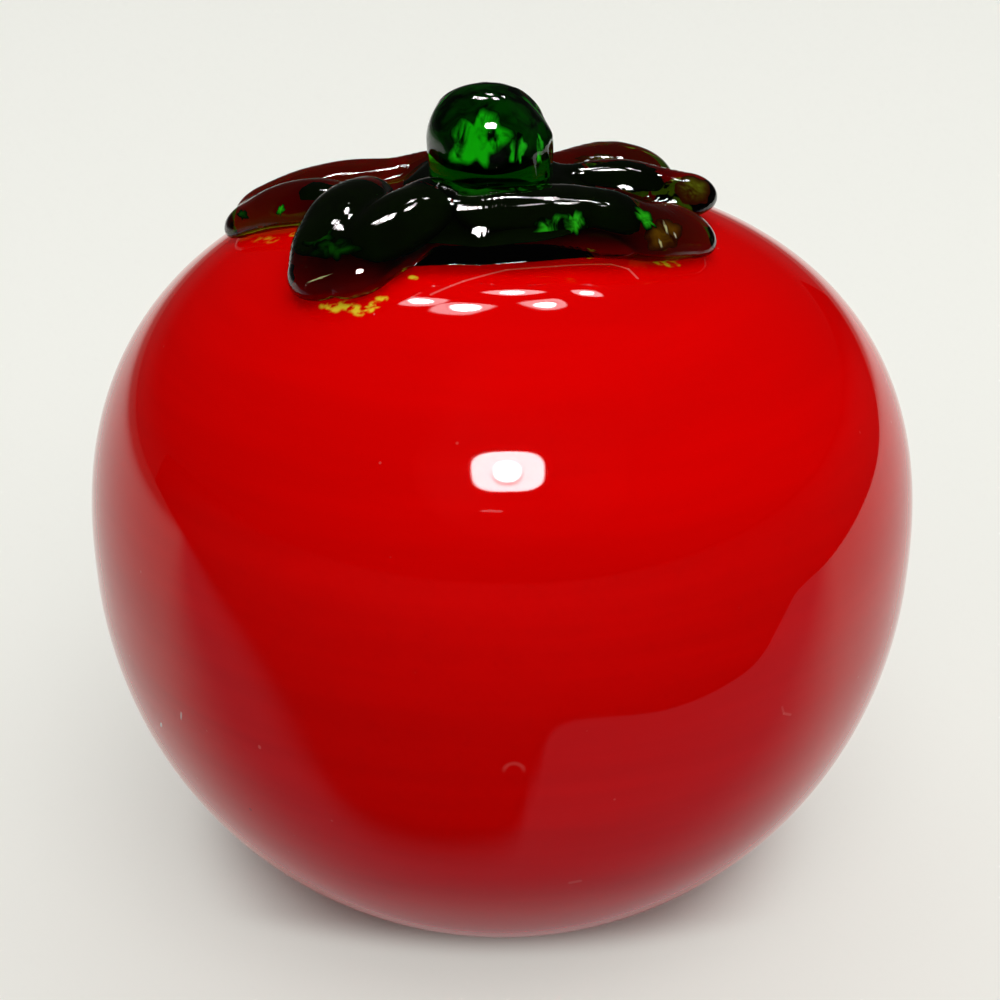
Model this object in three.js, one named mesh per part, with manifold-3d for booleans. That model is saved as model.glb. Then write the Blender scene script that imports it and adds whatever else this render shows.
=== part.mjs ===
// Glass tomato paperweight: a solid red glass body cased in clear glass, with a green calyx
// and stem on its crown.
// Millimetres, +Z up, origin at the centre of the ground base. The front faces -Y.

import * as THREE from "three";
import { mergeVertices } from "three/addons/utils/BufferGeometryUtils.js";
import Module from "manifold-3d";

// Body: two superellipse quarters that meet at the widest ring, with a shallow dish in the crown
// and a right shoulder that is a little lower than the left
const bodyDiameter = 80;
const widestHeight = 35;
const crownHeight = 69.4;
const baseDiameter = 42;
const upperFullness = 2.45;
const lowerFullness = 2.02;
const dishDepth = 2.2;
const dishDiameter = 42;
const shoulderDrop = 1.5;

// Layers of the body, and the width of their rings in the ground base
const casingWall = 2;
const colourWall = 2.5;
const casingRing = 4;
const colourRing = 4;

// Gap that stands for each fused seam
const seam = 0.3;

// Collar: a pad on the crown with a thicker, wider roll at the front
const collarDiameter = 30;
const collarRise = 3.3;
const frontRise = 1.5;
const frontSwell = 3.2;
const edgeRoundness = 3.4;
const seatRise = 3.8;

// Stem: a domed knob with a small flared foot, a little left of the axis
const stemDiameter = 11.3;
const stemHeight = 7.5;
const stemDome = 5.2;
const stemFullness = 2.15;
const footFlare = 0.4;
const stemOffset = -1;
const stemLean = 0.05;

// Leaves: each runs from its root beside the stem to its tip, and lies on the crown
const rootClearance = 1.6;
const bellyShare = 0.34;
const creaseWidth = 0.34;
const leaves = [
  {
    name: "leaf_front_left",
    rootAngle: 211,
    rootShift: 1.8,
    tipAngle: 228.5,
    tipReach: 23.4,
    halfWidth: 3.8,
    rootRise: 4.5,
    tipRise: 3.2,
    crease: 0,
    tipLift: 0,
  },
  {
    name: "leaf_front_right",
    rootAngle: 312,
    rootShift: 0.6,
    tipAngle: 336.5,
    tipReach: 20.3,
    halfWidth: 4.7,
    rootRise: 4.8,
    tipRise: 4,
    crease: 0,
    tipLift: 0,
  },
  {
    name: "leaf_left",
    rootAngle: 185,
    rootShift: 0,
    tipAngle: 167.5,
    tipReach: 26.6,
    halfWidth: 6.3,
    rootRise: 3.6,
    tipRise: 2.8,
    crease: 0.2,
    tipLift: 0,
  },
  {
    name: "leaf_right",
    rootAngle: 12,
    rootShift: 0,
    tipAngle: 7,
    tipReach: 19.4,
    halfWidth: 3.9,
    rootRise: 4.3,
    tipRise: 3.2,
    crease: 0,
    tipLift: 1.1,
  },
  {
    name: "leaf_back_right",
    rootAngle: 51,
    rootShift: 2.4,
    tipAngle: 47,
    tipReach: 20.6,
    halfWidth: 4.8,
    rootRise: 1.9,
    tipRise: 2.3,
    crease: 0.15,
    tipLift: 0,
  },
];

// Facets
const roundSegments = 40;
const upperSteps = 10;
const lowerSteps = 6;
const collarSteps = 7;
const leafSteps = 11;
const leafSides = 16;
const stemSegments = 24;
const stemSteps = 8;

const bodyRadius = bodyDiameter / 2;
const stemRadius = stemDiameter / 2;
const footRadius = stemRadius + footFlare;
const seatRadius = footRadius + Math.abs(stemOffset) + 0.3;

const wasm = await Module();
wasm.setup();

function toSolid(geometry) {
  const bare = geometry.clone();
  bare.deleteAttribute("normal");
  bare.deleteAttribute("uv");
  const merged = mergeVertices(bare, 1e-4);
  const mesh = new wasm.Mesh({
    numProp: 3,
    vertProperties: merged.attributes.position.array,
    triVerts: new Uint32Array(merged.index.array),
  });
  return new wasm.Manifold(mesh);
}

function toGeometry(solid) {
  const mesh = solid.getMesh();
  const geometry = new THREE.BufferGeometry();
  geometry.setAttribute("position", new THREE.BufferAttribute(mesh.vertProperties, 3));
  geometry.setIndex(new THREE.BufferAttribute(mesh.triVerts, 1));
  geometry.computeVertexNormals();
  return geometry;
}

// The main body of a cut piece, without the loose crumbs a cut can leave
function mainBody(solid) {
  const bodies = solid.decompose();
  bodies.sort((a, b) => b.volume() - a.volume());
  return bodies[0];
}

function smooth(low, high, value) {
  const t = Math.min(Math.max((value - low) / (high - low), 0), 1);
  return t * t * (3 - 2 * t);
}

function dish(r) {
  const share = (2 * r) / dishDiameter;
  return share < 1 ? dishDepth * (1 - share ** 2) ** 2 : 0;
}

// How far the right shoulder is let down at a point of the upper body
function drop(x, z) {
  const share = (z - widestHeight) / (crownHeight - widestHeight);
  return shoulderDrop * Math.max(share, 0) ** 3 * smooth(bodyRadius * 0.1, bodyRadius * 0.5, x);
}

// Height of the casing's outer face over a point of the crown, before the right shoulder is let down
function crownAt(r) {
  const share = Math.min(r / bodyRadius, 1);
  const rise = crownHeight - widestHeight;
  return widestHeight + rise * (1 - share ** upperFullness) ** (1 / upperFullness) - dish(r);
}

// A point that stands `height` off the crown, over the plan point x, y
function onCrown(x, y, height) {
  const r = Math.hypot(x, y);
  const slope = (crownAt(r + 0.01) - crownAt(Math.max(r - 0.01, 0))) / 0.02;
  const normal = new THREE.Vector3(0, 0, 1);
  if (r > 0.1) {
    normal.set((-slope * x) / r, (-slope * y) / r, 1).normalize();
  }
  const z = crownAt(r);
  return new THREE.Vector3(x, y, z - drop(x, z)).addScaledVector(normal, height);
}

// Half outline of the body, inset by a wall and cut off at the base, from the base edge to the axis
function bodyOutline(inset, ringInset) {
  const radius = bodyRadius - inset;
  const foot = baseDiameter / 2 - ringInset;
  const rise = crownHeight - widestHeight - inset;
  const depth = widestHeight / (1 - (foot / radius) ** lowerFullness) ** (1 / lowerFullness);
  const footAngle = Math.acos((foot / radius) ** (lowerFullness / 2));
  const points = [new THREE.Vector2(foot, 0)];
  for (let i = lowerSteps - 1; i > 0; i--) {
    const a = (footAngle * i) / lowerSteps;
    const r = radius * Math.cos(a) ** (2 / lowerFullness);
    points.push(new THREE.Vector2(r, widestHeight - depth * Math.sin(a) ** (2 / lowerFullness)));
  }
  for (let i = 0; i < upperSteps; i++) {
    const a = (Math.PI / 2) * (i / upperSteps);
    const r = radius * Math.cos(a) ** (2 / upperFullness);
    points.push(new THREE.Vector2(r, widestHeight + rise * Math.sin(a) ** (2 / upperFullness) - dish(r)));
  }
  points.push(new THREE.Vector2(0, widestHeight + rise - dish(0)));
  return points;
}

function turned(points, segments) {
  return new THREE.LatheGeometry(points, segments).rotateX(Math.PI / 2);
}

// A piece of the body turned about its axis, with its right shoulder let down
function bodyPiece(points) {
  const geometry = turned(points, roundSegments);
  const position = geometry.attributes.position;
  for (let i = 0; i < position.count; i++) {
    position.setZ(i, position.getZ(i) - drop(position.getX(i), position.getZ(i)));
  }
  return geometry;
}

// A layer between two outlines, open in the base
function layer(outer, inner) {
  return bodyPiece([...inner.reverse(), ...outer]);
}

// A closed skin over rings of points, with one point at each end
function skin(start, rings, end) {
  const sides = rings[0].length;
  const points = [start, ...rings.flat(), end];
  const at = (i, j) => 1 + i * sides + (j % sides);
  const faces = [];
  for (let j = 0; j < sides; j++) {
    faces.push(0, at(0, j + 1), at(0, j));
    faces.push(points.length - 1, at(rings.length - 1, j), at(rings.length - 1, j + 1));
    for (let i = 0; i + 1 < rings.length; i++) {
      faces.push(at(i, j), at(i, j + 1), at(i + 1, j));
      faces.push(at(i, j + 1), at(i + 1, j + 1), at(i + 1, j));
    }
  }
  const geometry = new THREE.BufferGeometry().setFromPoints(points);
  geometry.setIndex(faces);
  geometry.computeVertexNormals();
  return geometry;
}

const crownCentre = crownAt(0);
const seatHeight = crownCentre + seam + seatRise;

// The collar before the leaves are let in: its edge is a rounded bead, its middle a flat seat for the stem
function collarGeometry() {
  const top = [];
  const bottom = [];
  for (let i = 1; i <= collarSteps; i++) {
    const share = Math.sin((Math.PI / 2) * (i / collarSteps));
    const bead = Math.sqrt(Math.max(1 - share ** edgeRoundness, 0));
    const upper = [];
    const lower = [];
    for (let j = 0; j < roundSegments; j++) {
      const a = (2 * Math.PI * j) / roundSegments;
      const front = -Math.sin(a);
      const edge = collarDiameter / 2 + frontSwell * Math.max(front, 0) ** 2;
      const rise = collarRise + frontRise * front;
      const r = share * edge;
      const x = r * Math.cos(a);
      const y = r * Math.sin(a);
      const belly = bellyShare * rise;
      const crest = onCrown(x, y, seam + belly + (rise - belly) * bead);
      crest.z = THREE.MathUtils.lerp(seatHeight, crest.z, smooth(seatRadius, seatRadius + 3, r));
      upper.push(crest);
      lower.push(onCrown(x, y, seam + belly * (1 - bead)));
    }
    top.unshift(upper);
    if (i < collarSteps) {
      bottom.push(lower);
    }
  }
  const start = new THREE.Vector3(0, 0, crownCentre + seam);
  const end = new THREE.Vector3(0, 0, seatHeight);
  return skin(start, [...bottom, ...top], end);
}

function planPoint(angle, reach) {
  const a = THREE.MathUtils.degToRad(angle);
  return new THREE.Vector2(reach * Math.cos(a), reach * Math.sin(a));
}

// A leaf: a finger with rounded ends and an oval section, flattened underneath and creased along its back.
// As a cutter it is grown by `grow` and its underside goes straight down through the pad.
function leafGeometry(leaf, grow) {
  const root = planPoint(leaf.rootAngle, footRadius + rootClearance + leaf.rootShift);
  const tip = planPoint(leaf.tipAngle, leaf.tipReach);
  const along = tip.clone().sub(root);
  const length = along.length();
  along.normalize();
  const half = leaf.halfWidth;
  const ringAt = (s) => {
    const u = Math.min(Math.max(s / length, 0), 1);
    const inside = Math.min(s, length - s) + grow;
    const near = Math.min(Math.max(inside / (half + grow), 0), 1);
    const end = Math.sqrt(1 - (1 - near) ** 2);
    const width = (half + grow) * end;
    const rise = THREE.MathUtils.lerp(leaf.rootRise, leaf.tipRise, u) * end;
    const belly = bellyShare * rise;
    const ring = [];
    for (let j = 0; j < leafSides; j++) {
      const a = (2 * Math.PI * j) / leafSides;
      const side = Math.cos(a);
      const up = Math.sin(a);
      let across = width * side;
      let height = seam + leaf.tipLift * u ** 3 + belly;
      if (up >= 0) {
        const crease = 1 - leaf.crease * end * Math.exp(-((side / creaseWidth) ** 2));
        height += (rise - belly + grow) * up * crease;
      } else if (grow > 0) {
        across = width * Math.sign(side) * Math.abs(side) ** 0.15;
        height += (belly + seam + grow + leaf.tipLift) * up;
      } else {
        height += belly * up;
      }
      const x = root.x + along.x * s - along.y * across;
      const y = root.y + along.y * s + along.x * across;
      ring.push(onCrown(x, y, height));
    }
    return ring;
  };
  const middle = (ring) => {
    const centre = new THREE.Vector3();
    ring.forEach((p) => centre.add(p));
    return centre.divideScalar(ring.length);
  };
  const rings = [];
  for (let i = 1; i < leafSteps; i++) {
    const share = (1 - Math.cos((Math.PI * i) / leafSteps)) / 2;
    rings.push(ringAt(-grow + share * (length + 2 * grow)));
  }
  const start = middle(ringAt(-grow));
  const end = middle(ringAt(length + grow));
  return skin(start, rings, end);
}

function stemGeometry() {
  const bottom = seatHeight + seam;
  const shoulder = stemHeight - stemDome;
  const points = [new THREE.Vector2(0, 0), new THREE.Vector2(footRadius, 0)];
  points.push(new THREE.Vector2(stemRadius + footFlare * 0.2, shoulder * 0.3));
  for (let i = 0; i < stemSteps; i++) {
    const a = (Math.PI / 2) * (i / stemSteps);
    const r = stemRadius * Math.cos(a) ** (2 / stemFullness);
    points.push(new THREE.Vector2(r, shoulder + stemDome * Math.sin(a) ** (2 / stemFullness)));
  }
  points.push(new THREE.Vector2(0, stemHeight));
  const geometry = turned(points, stemSegments);
  const position = geometry.attributes.position;
  for (let i = 0; i < position.count; i++) {
    const rise = position.getZ(i);
    position.setX(i, position.getX(i) + stemOffset - stemLean * rise);
    position.setZ(i, rise + bottom);
  }
  return geometry;
}

const glass = {
  core: { color: 0xf2efe6, roughness: 0.1, metalness: 0 },
  red: { color: 0xc80000, roughness: 0.05, metalness: 0 },
  clear: { color: 0xf4f6f4, roughness: 0.02, metalness: 0, transparent: true, opacity: 0.25 },
  leaf: { color: 0x123a10, roughness: 0.03, metalness: 0 },
  stem: { color: 0x0d6a12, roughness: 0.03, metalness: 0 },
};

const group = new THREE.Group();

function place(name, geometry, look) {
  const mesh = new THREE.Mesh(geometry, new THREE.MeshStandardMaterial(look));
  mesh.name = name;
  group.add(mesh);
}

const casingIn = casingWall;
const colourOut = casingIn + seam;
const colourIn = colourOut + colourWall;
const coreOut = colourIn + seam;
const ringIn = casingRing + seam;
const coreRing = ringIn + colourRing + seam;

const casing = layer(bodyOutline(0, 0), bodyOutline(casingIn, casingRing));
const colour = layer(bodyOutline(colourOut, ringIn), bodyOutline(colourIn, ringIn + colourRing));
const core = bodyPiece([new THREE.Vector2(0, 0), ...bodyOutline(coreOut, coreRing)]);

place("glass_core", core, glass.core);
place("colour_layer", colour, glass.red);
place("clear_casing", casing, glass.clear);

// Each leaf is trimmed clear of the leaves before it, and the collar is let out round all of them
let taken = null;
for (const leaf of leaves) {
  let solid = toSolid(leafGeometry(leaf, 0));
  if (taken) {
    solid = mainBody(solid.subtract(taken));
  }
  const cutter = toSolid(leafGeometry(leaf, seam));
  taken = taken ? taken.add(cutter) : cutter;
  place(leaf.name, toGeometry(solid), glass.leaf);
}
const collar = mainBody(toSolid(collarGeometry()).subtract(taken));
place("calyx_collar", toGeometry(collar), glass.leaf);
place("stem", stemGeometry(), glass.stem);

export default group;
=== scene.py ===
import math

import bpy
import numpy as np
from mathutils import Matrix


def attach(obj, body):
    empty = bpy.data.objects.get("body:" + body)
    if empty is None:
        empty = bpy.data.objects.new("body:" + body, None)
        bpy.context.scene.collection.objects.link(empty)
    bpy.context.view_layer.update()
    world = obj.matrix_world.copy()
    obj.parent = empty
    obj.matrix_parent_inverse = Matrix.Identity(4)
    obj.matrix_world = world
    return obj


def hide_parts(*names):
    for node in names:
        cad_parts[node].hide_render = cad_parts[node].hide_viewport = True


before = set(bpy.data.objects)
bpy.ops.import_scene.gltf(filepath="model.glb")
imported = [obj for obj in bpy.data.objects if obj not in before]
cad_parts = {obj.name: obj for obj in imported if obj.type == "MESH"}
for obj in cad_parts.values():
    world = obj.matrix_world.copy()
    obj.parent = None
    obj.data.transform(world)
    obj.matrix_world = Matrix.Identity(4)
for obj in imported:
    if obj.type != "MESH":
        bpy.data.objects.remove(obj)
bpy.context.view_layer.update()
print("frame loaded, nodes:", len(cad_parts))

mm = 0.001


# eases from 0 to 1 between two values: three t squared minus two t cubed
def smooth(low, high, value):
    t = np.clip((value - low) / (high - low), 0, 1)
    return t * t * (3 - 2 * t)


def lerp(a, b, t):
    return a + (b - a) * t


# angles once around, and angles from the lower to the upper pole without the poles
def roundAngles(count):
    return np.linspace(0, 2 * np.pi, count, endpoint=False)


def poleAngles(count):
    return np.pi / 2 * np.linspace(-1, 1, count)[1:-1]


# an outline of radius and height turned about the axis
def turned(outline, around):
    a = roundAngles(around)
    r, z = outline[:, :1], outline[:, 1:]
    return np.stack([r * np.cos(a), r * np.sin(a), z + 0 * a], -1)


# a ball of radius one without its poles: cosine and sine turned about the axis
def ballRings(count, around):
    a = poleAngles(count)
    return turned(np.stack([np.cos(a), np.sin(a)], -1), around)


# faces of a tube of rings, each ring closed on itself, with one point at each end
def ringFaces(rings, sides, first):
    i, j = np.meshgrid(np.arange(rings - 1), np.arange(sides), indexing="ij")
    k = (j + 1) % sides
    at = lambda r, c: first + 1 + r * sides + c
    quads = np.stack([at(i, j), at(i, k), at(i + 1, k), at(i + 1, j)], -1).reshape(-1, 4)
    c = np.arange(sides)
    d = (c + 1) % sides
    last = first + 1 + rings * sides
    start = np.stack([np.full(sides, first), at(0, d), at(0, c)], -1)
    end = np.stack([np.full(sides, last), at(rings - 1, c), at(rings - 1, d)], -1)
    return quads, np.concatenate([start, end])


def tubeParts(start, rings, end, first=0):
    points = np.concatenate([start.reshape(1, 3), rings.reshape(-1, 3), end.reshape(1, 3)])
    quads, tris = ringFaces(rings.shape[0], rings.shape[1], first)
    return points, quads, tris


# several tubes as one set of points and faces
def joinedTubes(tubes):
    parts, first = [], 0
    for start, rings, end in tubes:
        parts.append(tubeParts(start, rings, end, first))
        first += len(parts[-1][0])
    return [np.concatenate(group) for group in zip(*parts)]


def makePiece(name, points, quads, tris, material):
    mesh = bpy.data.meshes.new(name)
    mesh.from_pydata((points * mm).tolist(), [], quads.tolist() + tris.tolist())
    mesh.update()
    mesh.polygons.foreach_set("use_smooth", np.ones(len(mesh.polygons), bool))
    piece = bpy.data.objects.new(name, mesh)
    bpy.context.scene.collection.objects.link(piece)
    piece.data.materials.append(material)
    return piece


# node helpers: a socket is linked, anything else is set as the input's value
def feed(tree, value, socket):
    if isinstance(value, bpy.types.NodeSocket):
        tree.links.new(value, socket)
    else:
        socket.default_value = value


# settings and inputs are given by name, and a node's first inputs also in order
def addNode(tree, kind, *inputs, **values):
    node = tree.nodes.new(kind)
    for key, value in values.items():
        if hasattr(node, key):
            setattr(node, key, value)
        else:
            feed(tree, value, node.inputs[key])
    for k, value in enumerate(inputs):
        feed(tree, value, node.inputs[k])
    return node


def setInputs(node, values):
    for name, value in values.items():
        node.inputs[name].default_value = value


def newMaterial(name):
    material = bpy.data.materials.new(name)
    material.use_nodes = True
    return material, material.node_tree, material.node_tree.nodes["Principled BSDF"]


# a material without gloss, for what lies inside the glass
def dullMaterial(name, roughness):
    material, tree, shader = newMaterial(name)
    setInputs(shader, {"Roughness": roughness, "Specular IOR Level": 0.0})
    return material, tree, shader


def newGroup(name, inputs, outputs):
    group = bpy.data.node_groups.new(name, "ShaderNodeTree")
    for label, kind, value in inputs:
        socket = group.interface.new_socket(name=label, in_out="INPUT", socket_type=kind)
        if value is not None:
            socket.default_value = value
    for label, kind in outputs:
        group.interface.new_socket(name=label, in_out="OUTPUT", socket_type=kind)
    return group, addNode(group, "NodeGroupInput"), addNode(group, "NodeGroupOutput")


def objectPoint(tree):
    return addNode(tree, "ShaderNodeTexCoord").outputs["Object"]


def splitPoint(tree, point):
    return addNode(tree, "ShaderNodeSeparateXYZ", point).outputs


def noiseAt(tree, point, **values):
    return addNode(tree, "ShaderNodeTexNoise", Vector=point, **values).outputs["Fac"]


def mathNode(tree, operation, first, second=0.0):
    return addNode(tree, "ShaderNodeMath", first, second, operation=operation).outputs[0]


# goes smoothly from least to strength as a value goes from none to full
def easedMask(tree, value, none, full, strength=1.0, least=0.0):
    ease = addNode(tree, "ShaderNodeMapRange", value, interpolation_type="SMOOTHSTEP")
    setInputs(ease, {"From Min": none, "From Max": full, "To Min": least, "To Max": strength})
    return ease.outputs["Result"]


# of a mix node, inputs 6 and 7 and output 2 are those for colours
def mixColour(tree, share, first, second):
    mix = addNode(tree, "ShaderNodeMix", data_type="RGBA")
    for k, value in ((0, share), (6, first), (7, second)):
        feed(tree, (*value, 1) if isinstance(value, tuple) else value, mix.inputs[k])
    return mix.outputs[2]


def mixShaders(tree, share, first, second):
    mix = addNode(tree, "ShaderNodeMixShader", share, first, second)
    tree.links.new(mix.outputs["Shader"], tree.nodes["Material Output"].inputs["Surface"])


# slow waves that the flame leaves on a glass skin, as a height between 0 and 1
waveGroup, groupIn, groupOut = newGroup(
    "flameWaves",
    [("Vector", "NodeSocketVector", None), ("Scale", "NodeSocketFloat", 120.0)],
    [("Height", "NodeSocketFloat")],
)
given = groupIn.outputs
wave = noiseAt(waveGroup, given["Vector"], Scale=given["Scale"], Detail=1.0, Roughness=0.35)
feed(waveGroup, wave, groupOut.inputs["Height"])


def waveBump(tree, point, scale, height):
    wave = addNode(tree, "ShaderNodeGroup", node_tree=waveGroup, Vector=point, Scale=scale)
    bump = addNode(tree, "ShaderNodeBump", Distance=height * mm, Height=wave.outputs["Height"], Strength=1.0)
    return bump.outputs["Normal"]


# faint bands that the turning of the gather leaves, as a share between 0 and 1
bandGroup, groupIn, groupOut = newGroup(
    "gatherBands",
    [("Vector", "NodeSocketVector", None), ("Flat", "NodeSocketVector", (20.0, 20.0, 220.0))],
    [("Share", "NodeSocketFloat")],
)
bandLook = dict(noise=dict(Scale=1.0, Detail=3.0, Roughness=0.55), low=0.3, high=0.7)
given = groupIn.outputs
stretched = addNode(bandGroup, "ShaderNodeVectorMath", given["Vector"], given["Flat"], operation="MULTIPLY")
bands = noiseAt(bandGroup, stretched.outputs["Vector"], **bandLook["noise"])
bands = easedMask(bandGroup, bands, bandLook["low"], bandLook["high"])
feed(bandGroup, bands, groupOut.inputs["Share"])

# body, in mm: two superellipse quarters that meet at the widest ring, with a dish in the crown
body = dict(
    radius=40.0, widest=35.0, crown=69.4, foot=21.0, upper=2.45, lower=2.02,
    dish=2.2, dishRadius=21.0, shoulderDrop=1.5, dropFrom=4.0, dropTo=20.0,
    wall=4.8, ringWall=8.3, around=240, upSteps=110, downSteps=70, innerUpSteps=40, innerDownSteps=24,
    red=(0.78, 0.0, 0.0), deepRed=(0.7, 0.0, 0.0), ior=1.36, ripple=0.02, rippleScale=45.0,
    seedScale=230.0, seedRim=0.04, seedFull=0.015, seedStrength=0.3,
    roughness=0.015, smudge=0.03, smudgeScale=70.0, smudgeLow=0.45, smudgeHigh=0.75,
    groundRed=(0.42, 0.03, 0.03), groundRim=(0.62, 0.36, 0.34), groundRoughness=0.45, groundTop=0.35,
    groundFull=0.1, rimRadius=16.8, rimSoft=0.4, gritScale=1800.0, gritShare=0.3,
)
# marks in the casing, in mm: capsules from one point to another, with radius, colour and strength; real
# marks, with painted light added among them
pinkMarkAndReflection, whiteGlintAndGrit, darkMark = (0.9, 0.2, 0.18), (1.0, 0.9, 0.88), (0.16, 0.0, 0.01)
casingMarksAndPaintedLight = [
    # painted glints: the two white ticks are light caught by bubbles
    dict(a=(-30.7, -24.9, 27.8), b=(-30.2, -25.2, 28.6), radius=0.16, colour=whiteGlintAndGrit, strength=0.95),
    dict(a=(-27.9, -28.6, 31.2), b=(-27.6, -28.7, 32.2), radius=0.12, colour=whiteGlintAndGrit, strength=0.6),
    dict(a=(-20.1, -34.5, 32.8), b=(-20.1, -34.5, 32.9), radius=0.16, colour=pinkMarkAndReflection, strength=0.5),
    dict(a=(18.5, -34.0, 46.2), b=(18.6, -34.0, 46.2), radius=0.16, colour=pinkMarkAndReflection, strength=0.45),
    dict(a=(-5.6, -24.0, 65.2), b=(-5.6, -24.0, 65.3), radius=0.18, colour=pinkMarkAndReflection, strength=0.4),
    dict(a=(7.2, -22.7, 65.7), b=(7.2, -22.7, 65.8), radius=0.13, colour=pinkMarkAndReflection, strength=0.35),
    dict(a=(5.6, -27.1, 63.1), b=(5.7, -27.1, 63.1), radius=0.13, colour=pinkMarkAndReflection, strength=0.35),
    dict(a=(5.8, -37.0, 20.4), b=(6.6, -36.9, 20.5), radius=0.22, colour=pinkMarkAndReflection, strength=0.3),
    dict(a=(23.2, -32.5, 35.5), b=(23.5, -32.4, 34.7), radius=0.12, colour=pinkMarkAndReflection, strength=0.2),
    dict(a=(23.5, -32.4, 34.7), b=(24.2, -31.9, 34.2), radius=0.13, colour=pinkMarkAndReflection, strength=0.3),
    dict(a=(-21.9, -31.8, 24.0), b=(-21.9, -31.8, 24.1), radius=0.14, colour=darkMark, strength=0.7),
]
markRim = dict(outer=1.3, inner=0.5)  # where a mark's edge starts and is full, in radii
# painted caustics: torn golden specks of light thrown through the green leaves onto the red beside them; plan
# x and y, radius, strength
paintedCaustic = dict(colour=(0.85, 0.66, 0.03), dx=0.3, dy=-0.2, tornScale=1400.0, tornLow=0.38, tornHigh=0.6)
paintedCausticSpecks = [
    (-14.7, -18.0, 0.4, 0.8), (-13.9, -18.6, 0.5, 0.9), (-13.0, -18.5, 0.55, 0.95),
    (-12.3, -19.1, 0.5, 0.9), (-11.8, -19.8, 0.35, 0.8), (-11.0, -19.6, 0.35, 0.9),
    (-10.5, -19.2, 0.4, 0.9), (-10.0, -18.6, 0.4, 0.9), (-7.5, -16.3, 0.3, 0.95),
    (7.2, -12.3, 0.3, 0.7), (13.1, -10.8, 0.45, 0.8), (13.9, -10.7, 0.5, 0.9),
    (14.7, -10.3, 0.35, 0.6), (-18.5, -4.8, 0.45, 0.8), (-22.3, -2.8, 0.5, 0.35),
    (-21.4, -3.7, 0.6, 0.4), (-20.6, -4.6, 0.5, 0.35),
]
# painted reflection: a thin pale pink line in front of the roll, where the calyx's front edge shows mirrored
# in the casing, in plan
paintedReflectionLine = dict(radius=0.13, strength=0.5, path=[
    (-5.8, -19.0), (-3.2, -17.4), (0.4, -15.5), (4.5, -14.7), (9.2, -13.2), (10.6, -13.5), (11.3, -14.8),
])
# only the upper half of the ring shows
ringBubble = dict(at=(0.9, -40.0, 34.6), radius=0.8, width=0.28, strength=0.22, cutFrom=-0.3, cutTo=0.5)
crownStep, nearAxis = 0.01, 0.1  # mm, for the crown's slope


# depth of the dish: one minus the square of the radius, squared
def dishAt(r):
    share = np.minimum(r / body["dishRadius"], 1)
    return body["dish"] * (1 - share ** 2) ** 2


# height of the crown: the upper superellipse less the dish
def crownAt(r):
    share = np.minimum(r / body["radius"], 1)
    rise = body["crown"] - body["widest"]
    return body["widest"] + rise * (1 - share ** body["upper"]) ** (1 / body["upper"]) - dishAt(r)


# how far the right shoulder is let down: the cube of the height above the widest ring, eased across x
def dropAt(x, z):
    share = np.maximum((z - body["widest"]) / (body["crown"] - body["widest"]), 0)
    return body["shoulderDrop"] * share ** 3 * smooth(body["dropFrom"], body["dropTo"], x)


# points that stand a height off the crown along its normal
def onCrown(x, y, height):
    r = np.hypot(x, y)
    slope = (crownAt(r + crownStep) - crownAt(np.maximum(r - crownStep, 0))) / (2 * crownStep)
    away = np.where(r > nearAxis, -slope / np.maximum(r, nearAxis), 0)
    normal = np.stack([away * x, away * y, np.ones_like(x)], -1)
    normal /= np.linalg.norm(normal, axis=-1, keepdims=True)
    z = crownAt(r)
    return np.stack([x, y, z - dropAt(x, z)], -1) + normal * height[..., None]


# half outline from the base edge to the axis: powers of cosine and sine
def bodyOutline(inset, ringInset, downSteps, upSteps):
    radius = body["radius"] - inset
    foot = body["foot"] - ringInset
    rise = body["crown"] - body["widest"] - inset
    q, p = body["lower"], body["upper"]
    depth = body["widest"] / (1 - (foot / radius) ** q) ** (1 / q)
    a = math.acos((foot / radius) ** (q / 2)) * np.linspace(1, 0, downSteps + 1)
    low = np.stack([radius * np.cos(a) ** (2 / q), body["widest"] - depth * np.sin(a) ** (2 / q)], -1)
    a = np.pi / 2 * np.linspace(0, 1, upSteps + 1)[1:-1]
    r = radius * np.cos(a) ** (2 / p)
    high = np.stack([r, body["widest"] + rise * np.sin(a) ** (2 / p) - dishAt(r)], -1)
    top = body["widest"] + rise - dishAt(np.zeros(1))[0]
    return np.concatenate([low, high]), np.array([0, 0, top])


def letDown(points):
    points = points.copy()
    points[..., 2] -= dropAt(points[..., 0], points[..., 2])
    return points


# one where a point lies within a radius of the line from a to b, eased at the rim
def capsuleMask(tree, point, mark):
    a, b = np.array(mark["a"]) * mm, np.array(mark["b"]) * mm
    share = (b - a) / np.dot(b - a, b - a)
    away = addNode(tree, "ShaderNodeVectorMath", point, a, operation="SUBTRACT").outputs["Vector"]
    along = addNode(tree, "ShaderNodeVectorMath", away, share, operation="DOT_PRODUCT").outputs["Value"]
    held = addNode(tree, "ShaderNodeClamp", along).outputs["Result"]
    foot = addNode(tree, "ShaderNodeVectorMath", b - a, operation="SCALE", Scale=held).outputs["Vector"]
    gap = addNode(tree, "ShaderNodeVectorMath", away, foot, operation="DISTANCE").outputs["Value"]
    radius = mark["radius"] * mm
    return easedMask(tree, gap, radius * markRim["outer"], radius * markRim["inner"])


# red glass under a clear casing: banded red with seeds and small marks, painted glints, painted caustics and
# a painted reflected line, its foot ground dull
casedRed, tree, shader = newMaterial("casedRed")
point = objectPoint(tree)
split = splitPoint(tree, point)
bands = addNode(tree, "ShaderNodeGroup", node_tree=bandGroup, Vector=point)
colour = mixColour(tree, bands.outputs["Share"], body["deepRed"], body["red"])
seeds = addNode(tree, "ShaderNodeTexVoronoi", Vector=point, Scale=body["seedScale"]).outputs["Distance"]
seedMask = easedMask(tree, seeds, body["seedRim"], body["seedFull"], body["seedStrength"])
colour = mixColour(tree, seedMask, colour, pinkMarkAndReflection)


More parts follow.
